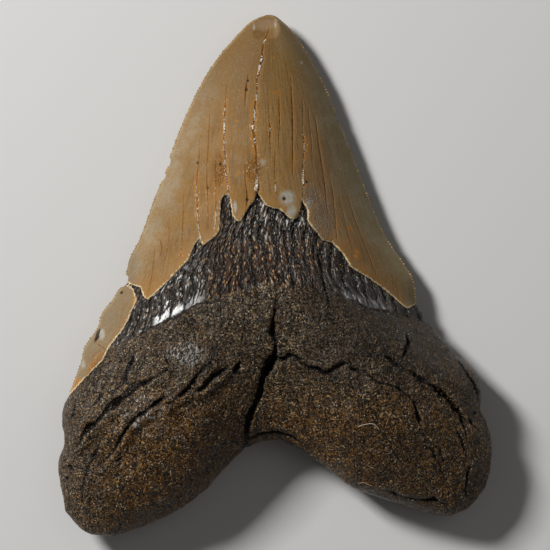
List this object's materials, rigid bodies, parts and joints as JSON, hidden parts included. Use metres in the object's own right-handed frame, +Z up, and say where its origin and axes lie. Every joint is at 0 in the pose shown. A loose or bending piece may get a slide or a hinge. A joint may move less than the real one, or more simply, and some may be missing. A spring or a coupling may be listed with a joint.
{
  "type": "fossil megalodon tooth",
  "caption": "Large fossil shark tooth: triangular serrated enamel crown on a thick two-lobed cracked root, lying on its flatter labial face.",
  "frame": {"origin": "on the resting surface, below the centre of the tooth's outline", "axes": "+Y from the root to the tip, +Z up out of the swollen lingual face, +X to the right with the tip pointing away and the lingual face up"},
  "size_m": [0.1162, 0.14, 0.0259],
  "materials": {
    "fossil_tooth": "granular dark brown root, satin grey-brown enamel crown"
  },
  "bodies": {
    "root": {"tooth": "fossil_tooth"}
  },
  "joints": []
}
